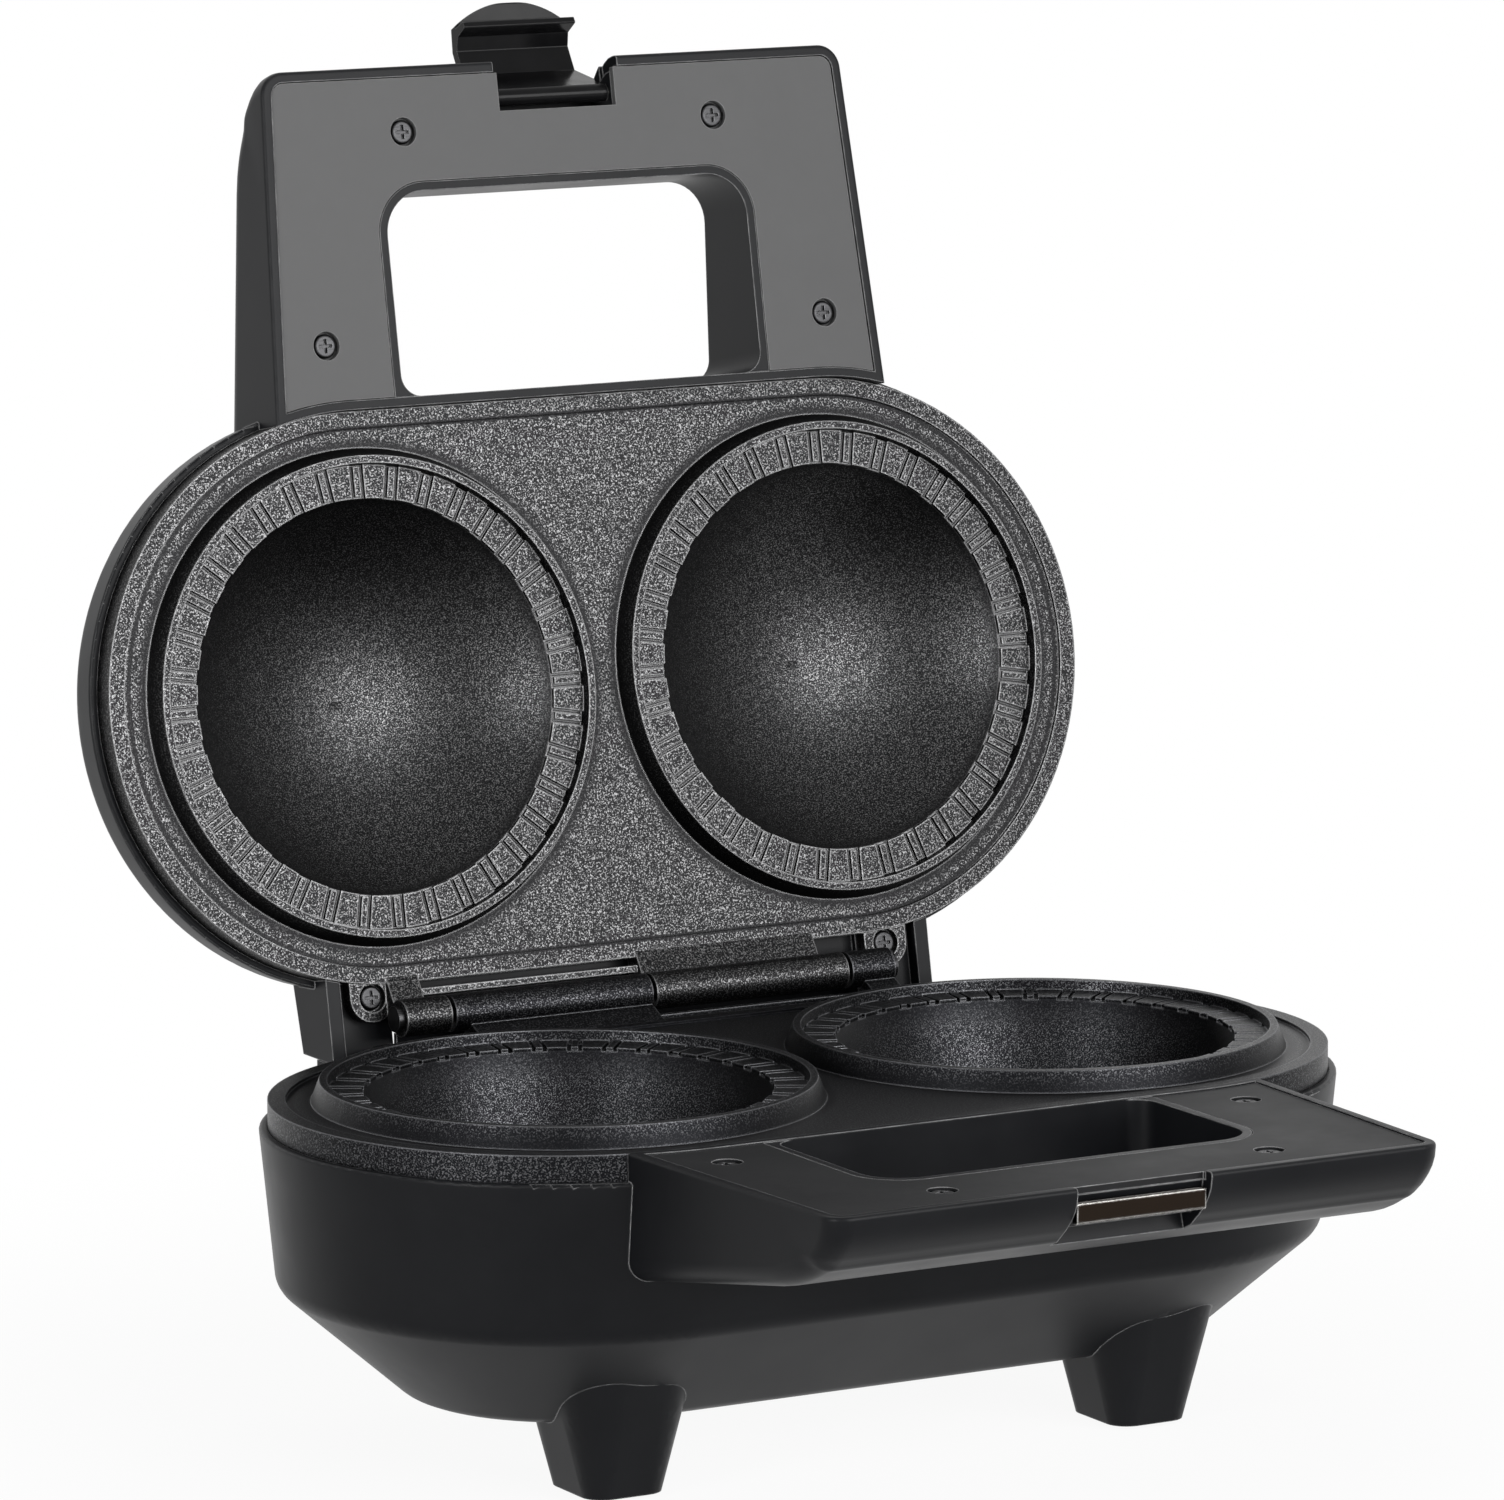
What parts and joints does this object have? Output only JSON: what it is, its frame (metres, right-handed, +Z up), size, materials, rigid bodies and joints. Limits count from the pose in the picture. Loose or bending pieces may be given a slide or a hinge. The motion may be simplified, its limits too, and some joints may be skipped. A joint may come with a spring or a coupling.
{
  "type": "electric pie maker",
  "caption": "Electric pie maker for two pies: hinged non-stick lid and base, see-through handles, swinging latch.",
  "frame": {"origin": "middle of the standing product's box, on the table it stands on", "axes": "+X to the right as seen from the handles, +Y from the handles to the hinge, +Z up"},
  "size_m": [0.2566, 0.2814, 0.3108],
  "materials": {
    "housing_black": "satin near-black moulding",
    "cover_grey": "satin dark grey moulding",
    "latch_black": "gloss black moulding",
    "dark_screw": "black oxide steel",
    "steel": "plated steel",
    "rod_steel": "dull steel sheath",
    "nonstick": "speckled non-stick coating on cast aluminium",
    "shield_aluminium": "mill finish",
    "rubber": "matt black",
    "ceramic": "cream phenolic",
    "red_lens": "clear red lens",
    "green_lens": "clear green lens",
    "lamp_glass": "clear lamp"
  },
  "bodies": {
    "root": {"base_housing": "housing_black", "base_handle_cover": "cover_grey", "base_cover_screws": "dark_screw", "foot_pads": "rubber", "latch_keeper": "steel", "lower_plate": "nonstick", "lower_plate_screws": "steel", "lower_element": "rod_steel", "lower_heat_shield": "shield_aluminium", "base_screws": "steel", "thermostat": "ceramic", "thermal_fuse": "steel", "terminal_block": "ceramic", "cord_panel": "housing_black", "cord_gland": "latch_black", "hinge_pin": "steel"},
    "lid": {"lid_housing": "housing_black", "lid_handle_cover": "cover_grey", "lid_cover_screws": "dark_screw", "upper_plate": "nonstick", "upper_plate_screws": "steel", "upper_element": "rod_steel", "upper_heat_shield": "shield_aluminium", "shield_screws": "steel", "power_lens": "red_lens", "ready_lens": "green_lens", "indicator_lamps": "lamp_glass", "latch_pin": "steel"},
    "latch_body": {"latch": "latch_black"}
  },
  "joints": [
    {"name": "lid_hinge", "type": "hinge", "parent": "root", "child": "lid", "pos_m": [0, 0.0753, 0.0875], "axis": [1, 0, 0], "range_deg": [0, 100.7]},
    {"name": "latch_pivot", "type": "hinge", "parent": "lid", "child": "latch_body", "pos_m": [0, 0.12001, 0.29073], "axis": [1, 0, 0], "range_deg": [0, 106.8]}
  ]
}
